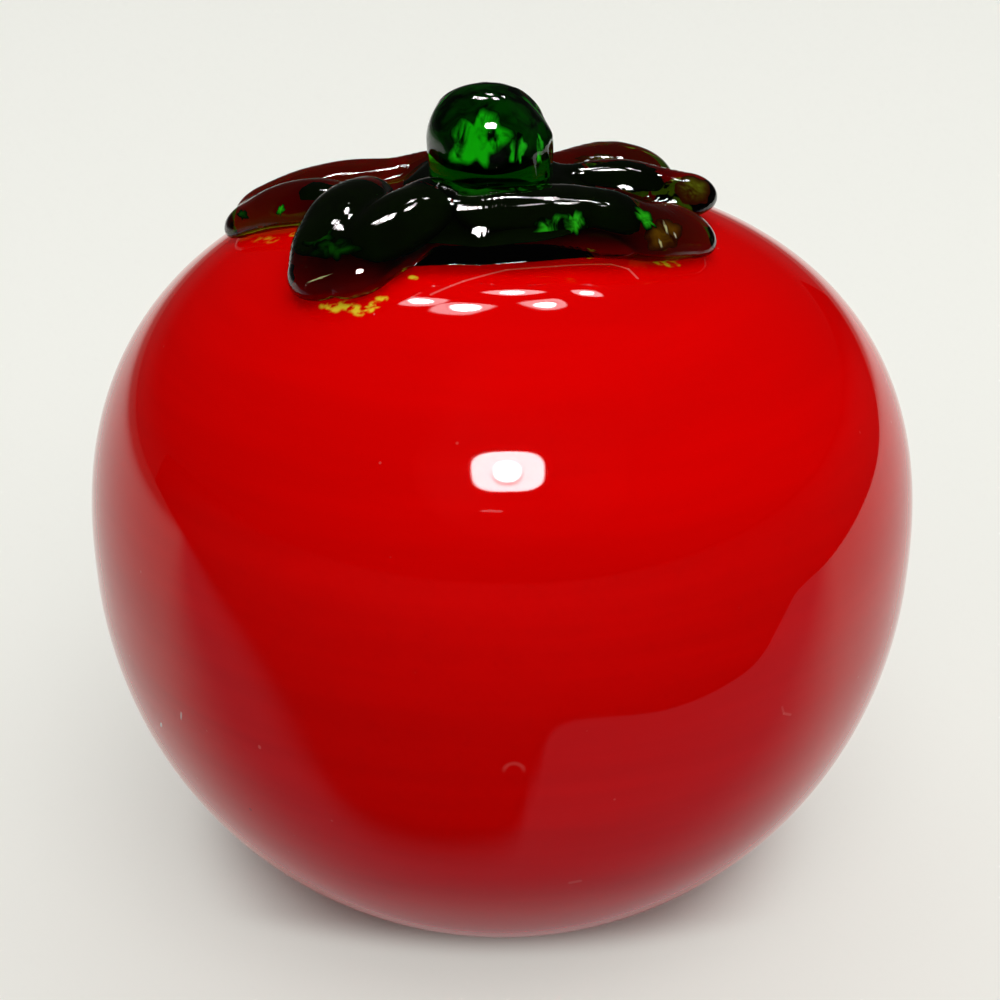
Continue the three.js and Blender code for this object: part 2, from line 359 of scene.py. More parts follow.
# the painted caustic specks and the painted reflected line lie on the crown
def crownMark(a, b, radius, colour, strength):
    a, b = (onCrown(np.array(x), np.array(y), np.array(0.0)) for x, y in (a, b))
    casingMarksAndPaintedLight.append(dict(a=a, b=b, radius=radius, colour=colour, strength=strength))


for x, y, radius, strength in paintedCausticSpecks:
    crownMark((x, y), (x + paintedCaustic["dx"], y + paintedCaustic["dy"]), radius, paintedCaustic["colour"], strength)
# the painted reflected line, drawn as a chain of pink capsules
for a, b in zip(paintedReflectionLine["path"][:-1], paintedReflectionLine["path"][1:]):
    crownMark(a, b, paintedReflectionLine["radius"], pinkMarkAndReflection, paintedReflectionLine["strength"])
# torn edges for the painted caustic specks
ragged = noiseAt(tree, point, Scale=paintedCaustic["tornScale"], Detail=2.0)
torn = easedMask(tree, ragged, paintedCaustic["tornLow"], paintedCaustic["tornHigh"])
for mark in casingMarksAndPaintedLight:
    mask = mathNode(tree, "MULTIPLY", capsuleMask(tree, point, mark), mark["strength"])
    if mark["colour"] is paintedCaustic["colour"]:
        mask = mathNode(tree, "MULTIPLY", mask, torn)
    colour = mixColour(tree, mask, colour, mark["colour"])
middle = np.array(ringBubble["at"]) * mm
gap = addNode(tree, "ShaderNodeVectorMath", point, middle, operation="DISTANCE").outputs["Value"]
offRing = mathNode(tree, "ABSOLUTE", mathNode(tree, "SUBTRACT", gap, ringBubble["radius"] * mm))
onRing = easedMask(tree, offRing, ringBubble["width"] * mm, 0.0, ringBubble["strength"])
cut = [middle[2] + ringBubble[key] * mm for key in ("cutFrom", "cutTo")]
upperHalf = easedMask(tree, split["Z"], *cut)
colour = mixColour(tree, mathNode(tree, "MULTIPLY", onRing, upperHalf), colour, pinkMarkAndReflection)

# the ground foot: a dull red ring with a paler rim and grit
flat = addNode(tree, "ShaderNodeCombineXYZ", split["X"], split["Y"]).outputs["Vector"]
fromAxis = addNode(tree, "ShaderNodeVectorMath", flat, operation="LENGTH").outputs["Value"]
ground = easedMask(tree, split["Z"], body["groundTop"] * mm, body["groundFull"] * mm)
rim = easedMask(tree, fromAxis, (body["rimRadius"] - body["rimSoft"]) * mm, body["rimRadius"] * mm)
grit = noiseAt(tree, point, Scale=body["gritScale"], Detail=2.0)
grit = mathNode(tree, "MULTIPLY", grit, body["gritShare"])
groundColour = mixColour(tree, rim, body["groundRed"], body["groundRim"])
groundColour = mixColour(tree, grit, groundColour, whiteGlintAndGrit)
feed(tree, mixColour(tree, ground, colour, groundColour), shader.inputs["Base Color"])
smudge = noiseAt(tree, point, Scale=body["smudgeScale"], Detail=4.0)
gloss = easedMask(tree, smudge, body["smudgeLow"], body["smudgeHigh"], body["smudge"])
gloss = mathNode(tree, "ADD", gloss, body["roughness"])
dull = mathNode(tree, "MULTIPLY", ground, body["groundRoughness"])
feed(tree, mathNode(tree, "MAXIMUM", gloss, dull), shader.inputs["Roughness"])
feed(tree, body["ior"], shader.inputs["IOR"])
feed(tree, waveBump(tree, point, body["rippleScale"], body["ripple"]), shader.inputs["Normal"])

outer, outerTop = bodyOutline(0, 0, body["downSteps"], body["upSteps"])
inner, innerTop = bodyOutline(body["wall"], body["ringWall"], body["innerDownSteps"], body["innerUpSteps"])
shell = turned(np.concatenate([inner[::-1], outer]), body["around"])
points, quads, tris = tubeParts(innerTop, shell, outerTop)
casedBody = makePiece("casedBody", letDown(points), quads, tris, casedRed)
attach(casedBody, "root")
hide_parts("clear_casing", "colour_layer")

# the core, in mm: opal glass, cloudy, ground flat underneath
core = dict(
    inset=5.1, ringInset=8.6, around=96, upSteps=30, downSteps=18, roughness=0.7,
    pale=(0.86, 0.83, 0.75), dull=(0.76, 0.72, 0.63), cloudScale=130.0, cloudLow=0.35, cloudHigh=0.7,
)
opalCore, tree, shader = newMaterial("opalCore")
cloud = noiseAt(tree, objectPoint(tree), Scale=core["cloudScale"], Detail=5.0, Roughness=0.6)
cloudy = easedMask(tree, cloud, core["cloudLow"], core["cloudHigh"])
feed(tree, mixColour(tree, cloudy, core["dull"], core["pale"]), shader.inputs["Base Color"])
feed(tree, easedMask(tree, cloud, 0.0, 1.0, core["roughness"]), shader.inputs["Roughness"])

coreLine, coreTop = bodyOutline(core["inset"], core["ringInset"], core["downSteps"], core["upSteps"])
points, quads, tris = tubeParts(np.zeros(3), turned(coreLine, core["around"]), coreTop)
glassCore = makePiece("glassCore", letDown(points), quads, tris, opalCore)
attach(glassCore, "root")
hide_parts("glass_core")
print("body made")

# calyx, in mm: one mass of glass whose fingers are ridges carried along plan paths over the crown
calyx = dict(
    padRadius=13.0, padRise=2.9, padTilt=0.3, edgeRoundness=3.4, skirtStraight=0.85,
    seatRise=4.1, seatMargin=0.5, seatBlend=2.6, sunk=0.08, belly=0.34, fused=1.25, melt=0.6,
    lump=0.05, lumpFull=2.5, lumpFrom=6.0, lumpTo=12.0, shareWidth=0.5, shareLimit=8.0,
    around=720, topSteps=64, underSteps=30, searchFrom=8.0, searchTo=30.0, searchSteps=331, edgePasses=3,
)
leafLook = dict(density=1000.0, absorb=(0.74, 0.82, 0.1), waveScale=180.0, waveHeight=0.12)
# each path point: x, y, half width, rise off the crown
fingers = dict(
    frontArm=[
        (-11.7, -15.7, 3.3, 3.6), (-9.9, -13.3, 3.9, 4.5), (-7.8, -10.7, 4.2, 5.1), (-5.8, -8.0, 4.2, 5.4),
    ],
    frontRoll=[
        (-4.4, -9.0, 5.0, 4.6), (-1.6, -8.7, 5.3, 4.8), (1.5, -8.6, 5.3, 4.9), (4.4, -8.7, 5.1, 4.9),
        (6.6, -8.9, 4.8, 4.9), (8.5, -9.2, 4.4, 4.8),
    ],
    frontSkirt=[
        (-7.6, -12.4, 3.8, 3.0), (-4.2, -11.7, 4.8, 3.25), (-1.8, -11.5, 4.9, 2.76), (0.7, -11.2, 5.3, 3.5),
        (4.0, -10.8, 5.1, 3.85), (7.4, -11.0, 4.2, 4.6),
    ],
    frontLeft=[
        (-12.0, -4.4, 3.0, 4.4), (-12.9, -7.6, 3.5, 4.9), (-13.6, -11.6, 3.6, 4.6),
        (-14.0, -15.0, 3.4, 3.8),
    ],
    frontRight=[(8.5, -9.2, 4.4, 4.8), (11.3, -8.6, 4.3, 4.1), (14.2, -6.4, 4.3, 3.4)],
    leftNear=[
        (-14.6, -2.4, 2.7, 3.3), (-17.2, -1.3, 3.6, 3.5), (-20.0, -0.2, 3.3, 3.2), (-22.2, 0.7, 2.9, 2.7),
    ],
    leftFar=[
        (-6.0, 5.6, 3.4, 4.0), (-10.5, 4.6, 3.4, 3.3), (-16.0, 4.2, 3.6, 3.2), (-21.4, 3.4, 3.1, 2.9),
    ],
    right=[(7.0, 1.5, 3.2, 4.0), (11.5, 2.4, 3.9, 4.4), (15.4, 2.0, 3.8, 3.5)],
    backRight=[(6.0, 7.6, 3.6, 3.0), (11.8, 11.0, 4.6, 3.7)],
)
tipLift = dict(x=19.5, y=2.0, reach=7.0, lift=1.2)  # the right finger ends just clear of the body
# stem, in mm: a knob seated on the calyx
stem = dict(
    radius=5.65, height=7.8, dome=5.3, fullness=2.15, tuck=0.1, offset=-1.0, lean=0.05, sunk=0.1,
    dent=0.22, dentReach=4.0, frontDent=0.06, frontReach=3.5, flute=0.06, fluteFrom=2.5, fluteTo=5.0,
    crimp=0.08, crimpFrom=1.5, crimpTo=4.0, facetWay=(0.74, -0.2, 0.64), facetAt=6.3, facetPress=0.7,
    around=200, steps=90, footSteps=20,
)
seatHeight = crownAt(np.zeros(1))[0] + calyx["seatRise"]
farBelow = -99.0


# root of a value's size, with the value's sign
def signedRoot(v):
    return np.sign(v) * np.sqrt(np.abs(v))


# soft maximum of two heights, rounded over the width k
def softMax(a, b, k):
    near = np.maximum(k - np.abs(a - b), 0) / k
    return np.maximum(a, b) + near ** 2 * k / 4


# path points led through smoothly: each stretch is a cubic with the slopes of its neighbours
def eased(path, steps=6):
    p = np.array(path)
    slope = np.gradient(p, axis=0)
    t = np.linspace(0, 1, steps, endpoint=False)[None, :, None]
    a, b, u, v = p[:-1, None], p[1:, None], slope[:-1, None], slope[1:, None]
    bend = a + u * t + (3 * (b - a) - 2 * u - v) * t ** 2 + (2 * (a - b) + u + v) * t ** 3
    return np.concatenate([bend.reshape(-1, p.shape[1]), p[-1:]])


# a finger's height over the plan, with away the distance over the half width: rise times the root of
# one minus away squared, mixed with one minus away where its side is straight
def fingerHeight(x, y, path, straight):
    best, rises = np.full(x.shape, farBelow), np.zeros(x.shape)
    path = eased(path)
    for (ax, ay, ah, ar), (bx, by, bh, br) in zip(path[:-1], path[1:]):
        dx, dy = bx - ax, by - ay
        t = np.clip(((x - ax) * dx + (y - ay) * dy) / (dx * dx + dy * dy), 0, 1)
        away = np.hypot(x - ax - t * dx, y - ay - t * dy) / lerp(ah, bh, t)
        rise = lerp(ar, br, t)
        height = rise * lerp(signedRoot(1 - away ** 2), 1 - away, straight)
        rises = np.where(height > best, rise, rises)
        best = np.maximum(best, height)
    return best, rises


# weight of a height among others: its exponential
def heightShare(height):
    return np.exp(np.clip(height, -calyx["shareLimit"], calyx["shareLimit"]) / calyx["shareWidth"])


# thickness of the fused mass over the plan, and the rise that sets its belly
def calyxHeight(x, y):
    r = np.hypot(x, y)
    padRise = calyx["padRise"] - calyx["padTilt"] * y / np.maximum(r, 1)
    total = padRise * signedRoot(1 - (r / calyx["padRadius"]) ** calyx["edgeRoundness"])
    weight = heightShare(total)
    rise = padRise * weight
    for name, path in fingers.items():
        height, own = fingerHeight(x, y, path, calyx["skirtStraight"] if name == "frontSkirt" else 0)
        total = softMax(total, height, calyx["melt"])
        share = heightShare(height)
        rise, weight = rise + own * share, weight + share
    return total, rise / weight


# low lumps on the upper side: products of slow sines, none at the edge and near the stem
def lumpAt(x, y, height):
    wide = np.sin(0.83 * x + 0.5 * y + 0.4) * np.sin(0.77 * y - 0.36 * x + 1.9)
    tight = np.sin(1.35 * x - 0.6 * y + 2.2) * np.sin(1.2 * y + 0.5 * x)
    inside = smooth(0, calyx["lumpFull"], height)
    outside = smooth(calyx["lumpFrom"], calyx["lumpTo"], np.hypot(x, y))
    return calyx["lump"] * (wide + 0.25 * tight) * inside * outside


# polar rings from the seat out to the edge over the top, and back in underneath
def calyxSkin():
    a = roundAngles(calyx["around"])[None, :]
    reach = np.linspace(calyx["searchFrom"], calyx["searchTo"], calyx["searchSteps"])[:, None]
    height = calyxHeight(reach * np.cos(a), reach * np.sin(a))[0]
    last = len(reach) - 1 - np.argmax(height[::-1] >= 0, axis=0)
    side = np.arange(calyx["around"])
    within, beyond = height[last, side] ** 2, height[last + 1, side] ** 2
    edge = lerp(reach[last, 0], reach[last + 1, 0], within / (within + beyond))
    for k in range(calyx["edgePasses"]):
        edge = (np.roll(edge, 1) + 2 * edge + np.roll(edge, -1)) / 4

    def sheet(steps, top):
        share = np.sin(np.pi / 2 * np.linspace(0, 1, steps + 1)[1:])[:, None]
        r = share * edge[None, :]
        x, y = r * np.cos(a), r * np.sin(a)
        height, rise = calyxHeight(x, y)
        height = np.maximum(height, 0) * np.where(share < 1, 1, 0)
        mid = calyx["belly"] * rise
        lift = tipLift["lift"] * smooth(tipLift["reach"], 0, np.hypot(x - tipLift["x"], y - tipLift["y"]))
        if not top:
            under = np.maximum(mid - calyx["belly"] * calyx["fused"] * height, 0)
            return onCrown(x, y, under - calyx["sunk"] + lift)
        over = mid + (1 - calyx["belly"]) * height + lumpAt(x, y, height)
        points = onCrown(x, y, over - calyx["sunk"] + lift)
        seatEdge = stem["radius"] + calyx["seatMargin"]
        seat = smooth(seatEdge, seatEdge + calyx["seatBlend"], np.hypot(x - stem["offset"], y))
        points[..., 2] = lerp(seatHeight, points[..., 2], seat)
        return points

    top, under = sheet(calyx["topSteps"], True), sheet(calyx["underSteps"], False)
    rings = np.concatenate([under[:-1], top[::-1]])
    return np.array([0, 0, under[0, :, 2].mean()]), rings, np.array([0, 0, seatHeight])


# see-through glass with a rippled skin, darker with depth, that lets light through to what lies inside
def glassMaterial(name, look):
    material, tree, shader = newMaterial(name)
    setInputs(shader, {"Base Color": (1, 1, 1, 1), "Roughness": 0.0})
    setInputs(shader, {"IOR": 1.5, "Transmission Weight": 1.0})
    bump = waveBump(tree, objectPoint(tree), look["waveScale"], look["waveHeight"])
    feed(tree, bump, shader.inputs["Normal"])
    clear = addNode(tree, "ShaderNodeBsdfTransparent")
    path = addNode(tree, "ShaderNodeLightPath")
    mixShaders(tree, path.outputs["Is Shadow Ray"], shader.outputs["BSDF"], clear.outputs["BSDF"])
    depth = addNode(tree, "ShaderNodeVolumeAbsorption", Density=look["density"], Color=(*look["absorb"], 1))
    feed(tree, depth.outputs["Volume"], tree.nodes["Material Output"].inputs["Volume"])
    return material


points, quads, tris = tubeParts(*calyxSkin())
calyxGlass = makePiece("calyxGlass", points, quads, tris, glassMaterial("leafGlass", leafLook))
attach(calyxGlass, "root")
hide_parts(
    "calyx_collar", "leaf_front_left", "leaf_front_right", "leaf_left", "leaf_right",
    "leaf_back_right"
)

# the dark heart, in mm, partly the depth of the thick glass and partly painted shade over the red under it:
# how far it stays inside each finger, and where it ends in three of them
heart = dict(
    insets=dict(
        frontArm=1.1, frontRoll=1.4, frontSkirt=2.0, frontLeft=1.0, leftNear=2.0, right=2.2, frontRight=1.9,
    ),
    rightEnd=(14.6, 2.2, 3.4, 3.6), leftEnd=(-17.6, -1.1, 3.2, 3.2), nearRightEnd=(11.2, -8.7, 4.2, 4.1),
    flatter=1.4, taperPower=6, taperLeast=0.04, padRadius=8.6, padMiddle=1.5, padHalf=0.8,
    around=40, padSteps=26, roughness=0.6, cloudScale=260.0,
    dark=(0.002, 0.003, 0.001), pale=(0.006, 0.016, 0.003),
)
heartPaths = dict(
    fingers,
    right=fingers["right"][:2] + [heart["rightEnd"]],
    leftNear=[fingers["leftNear"][0], heart["leftEnd"]],
    frontRight=[fingers["frontRoll"][-2], fingers["frontRight"][0], heart["nearRightEnd"]],
)

# glass so deep that no light comes back, and painted shade where the red lies under the thick glass
deepGlassAndShade, tree, shader = dullMaterial("deepGlassAndShade", heart["roughness"])
cloud = noiseAt(tree, objectPoint(tree), Scale=heart["cloudScale"], Detail=2.0)
feed(tree, mixColour(tree, cloud, heart["dark"], heart["pale"]), shader.inputs["Base Color"])


# the heart of a finger: an ellipse carried along the finger's path inside the glass, rounded at both ends
def heartTube(path, inset):
    p = eased(path)
    along = np.gradient(p[:, :2], axis=0)
    along /= np.linalg.norm(along, axis=1, keepdims=True)
    t = np.linspace(0, 1, len(p))[:, None]
    taper = np.sqrt(np.clip(1 - np.abs(2 * t - 1) ** heart["taperPower"], heart["taperLeast"], 1))
    a = roundAngles(heart["around"])[None, :]
    side = (p[:, 2:3] - inset) * taper * np.cos(a)
    up = (p[:, 3:4] - inset * heart["flatter"]) / 2 * taper * np.sin(a)
    x, y = p[:, :1] - along[:, 1:] * side, p[:, 1:2] + along[:, :1] * side
    rings = onCrown(x, y, p[:, 3:4] / 2 + up)
    ends = onCrown(p[[0, -1], 0], p[[0, -1], 1], p[[0, -1], 3] / 2)
    return ends[0], rings, ends[1]


# the heart of the pad: a flat ellipse turned about the axis
def heartPad():
    a = poleAngles(heart["padSteps"])
    middle, half = heart["padMiddle"], heart["padHalf"]
    outline = np.stack([heart["padRadius"] * np.cos(a), middle + half * np.sin(a)], -1)
    rings = turned(outline, heart["around"])
    ends = onCrown(np.zeros(2), np.zeros(2), middle + half * np.array([-1, 1]))
    return ends[0], onCrown(rings[..., 0], rings[..., 1], rings[..., 2]), ends[1]


tubes = [heartTube(heartPaths[name], inset) for name, inset in heart["insets"].items()]
points, quads, tris = joinedTubes(tubes + [heartPad()])
calyxDepthAndShade = makePiece("calyxDepthAndShade", points, quads, tris, deepGlassAndShade)
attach(calyxDepthAndShade, "root")

# painted light: flecks under the glass skin that stand in for glints, light seen through thin glass and
# reflections inside it, in mm: middle, way that they face, half length, width and thickness, turn in degrees;
# low and high set how much of a fleck is bright, edge the share of its half size where fading starts
glintMesh = dict(rings=16, around=48)
glintDraw = dict(
    mapping=dict(Rotation=(0, 0.4, 0), Scale=(1, 1, 0.35)),
    noise=dict(Scale=750.0, Detail=4.0, Distortion=0.8), roughness=0.5,
)
glintGreen, darkGreen = (0.05, 0.95, 0.05), (0.0, 0.004, 0.0)
# painted glints: bright green light coming through the roll, the front right leaf and the left leaf
paintedLeafGlints = dict(low=0.36, high=0.58, edge=0.4, bright=glintGreen, dark=darkGreen, glints=[
    dict(at=(4.4, -12.75, 70.25), way=(0.03, -0.83, 0.56), half=(1.7, 1.1, 0.07)),
    dict(at=(6.0, -12.6, 70.45), way=(-0.06, -0.8, 0.6), half=(0.9, 1.2, 0.07)),
    dict(at=(11.9, -10.6, 70.1), way=(0.39, -0.31, 0.87), half=(0.8, 1.3, 0.1)),
    dict(at=(-19.6, -3.4, 68.6), way=(-0.44, -0.7, 0.56), half=(0.35, 0.5, 0.06)),
])
# painted glints: dim green in the left finger and the left leaf
paintedDimGlints = dict(low=0.3, high=0.7, edge=0.2, bright=(0.01, 0.16, 0.01), dark=darkGreen, glints=[
    dict(at=(-13.6, -15.9, 69.2), way=(-0.15, -0.51, 0.85), half=(1.7, 1.2, 0.1)),
    dict(at=(-15.0, -14.4, 69.6), way=(-0.36, -0.45, 0.82), half=(1.0, 1.2, 0.1)),
    dict(at=(-23.3, -0.8, 67.2), way=(-0.66, -0.45, 0.6), half=(0.8, 0.4, 0.06)),
])
maroon, brown = (0.075, 0.008, 0.002), (0.06, 0.004, 0.0)
# painted light: olive where light comes through the thin tips of the right leaves
paintedOliveLight = dict(low=0.3, high=0.7, edge=0.0, bright=(0.4, 0.44, 0.06), dark=maroon, glints=[
    dict(at=(17.2, 0.9, 68.85), way=(0.3, -0.4, 0.87), half=(1.7, 1.5, 0.3), ragged=0.4),
    dict(at=(9.0, 7.7, 69.7), way=(0.06, -0.33, 0.94), half=(2.0, 0.8, 0.06)),
])
# painted light: amber glow through the bulb of the front right leaf
paintedAmberLight = dict(low=0.3, high=0.65, edge=0.2, bright=(0.42, 0.16, 0.015), dark=brown, glints=[
    dict(at=(13.5, -10.8, 68.8), way=(0.45, -0.56, 0.68), half=(2.0, 1.3, 0.1), ragged=0.5),
])
# painted highlights: pale streaks reflected inside the front right leaf and at the left tip
paintedPaleHighlights = dict(low=0.2, high=0.4, edge=0.5, bright=(1.0, 0.92, 0.85), dark=(0.1, 0.01, 0.01), glints=[
    dict(at=(13.75, -10.7, 69.4), way=(0.38, -0.45, 0.81), half=(0.16, 0.8, 0.05), turn=-15),
    dict(at=(13.25, -12.0, 68.55), way=(0.44, -0.76, 0.49), half=(0.14, 0.45, 0.05), turn=20),
    dict(at=(14.6, -11.0, 68.9), way=(0.5, -0.6, 0.6), half=(0.12, 0.35, 0.05), turn=10),
    dict(at=(-14.9, -18.2, 67.75), way=(-0.19, -0.84, 0.51), half=(1.0, 0.09, 0.05), turn=22),
])
# painted glints: bright green in the knob where the pale floor shows through it
paintedStemGlints = dict(low=0.34, high=0.52, edge=0.7, bright=glintGreen, dark=darkGreen, glints=[
    dict(at=(-2.0, -3.4, 75.0), way=(-0.1, -0.96, 0.35), half=(2.2, 2.4, 0.1)),
    dict(at=(1.2, -4.0, 74.4), way=(0.2, -0.96, 0.2), half=(0.7, 1.3, 0.1)),
    dict(at=(2.9, -2.4, 73.9), way=(0.6, -0.8, 0.1), half=(0.4, 1.3, 0.1)),
    dict(at=(-3.7, 2.5, 74.5), way=(-0.7, 0.7, 0.1), half=(1.3, 1.7, 0.1)),
    dict(at=(1.6, 2.8, 74.8), way=(0.5, 0.85, 0.2), half=(1.5, 1.4, 0.1)),
])


# a painted glint: a ball flattened along the way that it faces, its outline ragged by three slow waves
def glintSkin(glint):
    way = np.array(glint["way"]) / np.linalg.norm(glint["way"])
    side = np.cross((0, 0, 1), way)
    side /= np.linalg.norm(side)
    up, turn = np.cross(way, side), math.radians(glint.get("turn", 0))
    along = side * math.cos(turn) + up * math.sin(turn)
    across = up * math.cos(turn) - side * math.sin(turn)
    axes = np.stack([along, across, way]) * np.array(glint["half"])[:, None]
    rings = ballRings(glintMesh["rings"], glintMesh["around"])
    a = roundAngles(glintMesh["around"])
    ragged = 0.2 * np.sin(2 * a + 0.7) + 0.16 * np.sin(5 * a + 1.3) + 0.1 * np.sin(9 * a)
    rings[..., :2] *= 1 + glint.get("ragged", 1) * ragged[None, :, None]
    ends = np.array([(0, 0, -1), (0, 0, 1)])
    return ends[0] @ axes + glint["at"], rings @ axes + glint["at"], ends[1] @ axes + glint["at"]


# painted light: bright streaks on dark, fading out towards a fleck's edge
def paintedLightPiece(name, look):
    material, tree, shader = dullMaterial(name, glintDraw["roughness"])
    drawn = addNode(tree, "ShaderNodeMapping", objectPoint(tree), **glintDraw["mapping"])
    streak = noiseAt(tree, drawn.outputs["Vector"], **glintDraw["noise"])
    inside = addNode(tree, "ShaderNodeAttribute", attribute_name="inside").outputs["Fac"]
    bright = mathNode(tree, "MULTIPLY", easedMask(tree, streak, look["low"], look["high"]), inside)
    feed(tree, mixColour(tree, bright, look["dark"], look["bright"]), shader.inputs["Base Color"])
    points, quads, tris = joinedTubes([glintSkin(glint) for glint in look["glints"]])
    piece = makePiece(name, points, quads, tris, material)
    fromMiddle = np.repeat(np.cos(poleAngles(glintMesh["rings"])), glintMesh["around"])
    fading = smooth(1, look["edge"], np.concatenate([[0], fromMiddle, [0]]))
    layer = piece.data.attributes.new("inside", "FLOAT", "POINT")
    layer.data.foreach_set("value", np.tile(fading, len(look["glints"])).astype(np.float32))
    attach(piece, "root")


paintedLightPiece("paintedLeafGlints", paintedLeafGlints)
paintedLightPiece("paintedDimGlints", paintedDimGlints)
paintedLightPiece("paintedOliveLight", paintedOliveLight)
paintedLightPiece("paintedAmberLight", paintedAmberLight)
paintedLightPiece("paintedPaleHighlights", paintedPaleHighlights)
print("calyx made")


# stem: a dome of cosine and sine powers, dented by slow waves and pressed flat at the upper right
def stemSkin():
    shoulder = stem["height"] - stem["dome"]
    f = stem["fullness"]
    a = np.pi / 2 * np.linspace(0, 1, stem["steps"] + 1)[:-1]
    r, z = stem["radius"] * np.cos(a) ** (2 / f), shoulder + stem["dome"] * np.sin(a) ** (2 / f)
    t = np.linspace(0, 1, stem["footSteps"])[:-1]
    foot = np.stack([stem["radius"] - stem["tuck"] * (1 - t) ** 2, shoulder * t], -1)
    rings = turned(np.concatenate([foot, np.stack([r, z], -1)]), stem["around"])
    points, quads, tris = tubeParts(np.zeros(3), rings, np.array([0, 0, stem["height"]]))
    x, y, z = points.T.copy()
    r = np.hypot(x, y)
    a = np.arctan2(y, x)
    b = np.pi - a
    wave = np.sin(5 * b + 0.9 * z + 0.6) + 0.8 * np.sin(8 * b - 1.1 * z - 1.2)
    wave += 0.5 * np.sin(3 * b + 1.6 * z + 2.0)
    outside = smooth(0, stem["dentReach"], r)
    dent = stem["dent"] * wave * outside * lerp(stem["frontDent"], 1, smooth(0, stem["frontReach"], y))
    fluted = smooth(stem["fluteFrom"], stem["fluteTo"], x)
    dent += stem["flute"] * np.sin(13 * a + 0.4 * z) * fluted * outside
    crimp = np.sin(3.9 * x + 0.9 * z + 0.5) + 0.8 * np.sin(2.3 * x - 1.4 * z + 1.1)
    points[:, 1] += stem["crimp"] * crimp * smooth(stem["crimpFrom"], stem["crimpTo"], y)
    points[:, 0] += dent * np.cos(a)
    points[:, 1] += dent * np.sin(a)
    over = points @ np.array(stem["facetWay"]) - stem["facetAt"]
    points -= stem["facetPress"] * np.maximum(over, 0)[:, None] * np.array(stem["facetWay"])
    points[:, 0] += stem["offset"] - stem["lean"] * points[:, 2]
    points[:, 2] += seatHeight - stem["sunk"]
    return points, quads, tris


stemLook = dict(density=700.0, absorb=(0.3, 0.89, 0.05), waveScale=160.0, waveHeight=0.3)
# mottled dark green, deep inside the knob and under it
stemHeart = dict(
    at=(-1.2, 0.6, 73.9), half=(4.0, 3.3, 2.4), rings=26, around=48, roughness=0.6,
    cloudScale=420.0, cloudLow=0.35, cloudHigh=0.7, dark=(0.0, 0.005, 0.0), green=(0.004, 0.09, 0.004),
)
knobDark, tree, shader = dullMaterial("knobDark", stemHeart["roughness"])
cloud = noiseAt(tree, objectPoint(tree), Scale=stemHeart["cloudScale"], Detail=3.0, Distortion=1.0)
green = easedMask(tree, cloud, stemHeart["cloudLow"], stemHeart["cloudHigh"])
feed(tree, mixColour(tree, green, stemHeart["dark"], stemHeart["green"]), shader.inputs["Base Color"])
points, quads, tris = stemSkin()
stemKnob = makePiece("stemKnob", points, quads, tris, glassMaterial("stemGlass", stemLook))
stemKnob.data.materials.append(knobDark)
slots = np.zeros(len(quads) + len(tris), np.int32)
slots[len(quads):len(quads) + stem["around"]] = 1
stemKnob.data.polygons.foreach_set("material_index", slots)
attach(stemKnob, "root")
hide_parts("stem")
# the painted glints in the knob
paintedLightPiece("paintedStemGlints", paintedStemGlints)

# the dark heart of the knob: an egg inside the glass
egg, middle = np.array(stemHeart["half"]), np.array(stemHeart["at"])
rings = ballRings(stemHeart["rings"], stemHeart["around"]) * egg + middle
points, quads, tris = tubeParts(middle - egg * (0, 0, 1), rings, middle + egg * (0, 0, 1))
knobHeart = makePiece("knobHeart", points, quads, tris, knobDark)
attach(knobHeart, "root")
print("stem made")


# stage, in metres: a pale floor, two soft lamps, glowing cards and a dark card that show only in the gloss
def stagePiece(name, points, faces, material):
    mesh = bpy.data.meshes.new(name)
    mesh.from_pydata(points.tolist(), [], faces)
    piece = bpy.data.objects.new(name, mesh)
    bpy.context.scene.collection.objects.link(piece)
    piece.data.materials.append(material)
    return piece


def glossOnly(piece):
    piece.visible_camera = False
    piece.visible_transmission = False
    piece.visible_diffuse = False
    piece.visible_shadow = False


# the floor sends less light back than it shows, mirrors darker in front than behind as a painted shade, and
# fades far off
floorLook = dict(
    colour=(0.92, 0.92, 0.86), reach=4.0, drop=0.00005, roughness=0.9, sheen=0.1,
    mirrorFront=(0.3, 0.27, 0.33), frontTo=-0.045, behindFrom=-0.008,
    besideTo=0.044, besideFull=0.03, besideShare=0.5,
    farColour=(0.2, 0.2, 0.18), fadeFrom=0.35, fadeTo=1.0, bounce=(0.28, 0.275, 0.265),
    nearGlow=0.9, farGlow=1.06, glowFrom=-0.06, glowTo=0.15,
    lift=0.5, liftFrom=0.023, liftTo=0.036, frontShift=0.015, shiftFrom=-0.018, shiftTo=-0.03,
)
floorMaterial, tree, shader = newMaterial("paleFloor")
setInputs(shader, {"Roughness": floorLook["roughness"], "Specular IOR Level": floorLook["sheen"]})
point = objectPoint(tree)
y = splitPoint(tree, point)["Y"]
away = addNode(tree, "ShaderNodeVectorMath", point, operation="LENGTH").outputs["Value"]
path = addNode(tree, "ShaderNodeLightPath")
glossy, diffuse = path.outputs["Is Glossy Ray"], path.outputs["Is Diffuse Ray"]
behind = easedMask(tree, y, floorLook["frontTo"], floorLook["behindFrom"])
beside = easedMask(tree, away, floorLook["besideTo"], floorLook["besideFull"], floorLook["besideShare"])
share = mathNode(tree, "MAXIMUM", behind, beside)
mirrored = mixColour(tree, share, floorLook["mirrorFront"], floorLook["colour"])
seen = mixColour(tree, glossy, floorLook["colour"], mirrored)
fade = easedMask(tree, away, floorLook["fadeFrom"], floorLook["fadeTo"])
far = mixColour(tree, mathNode(tree, "MULTIPLY", glossy, fade), seen, floorLook["farColour"])
feed(tree, mixColour(tree, diffuse, far, floorLook["bounce"]), shader.inputs["Base Color"])
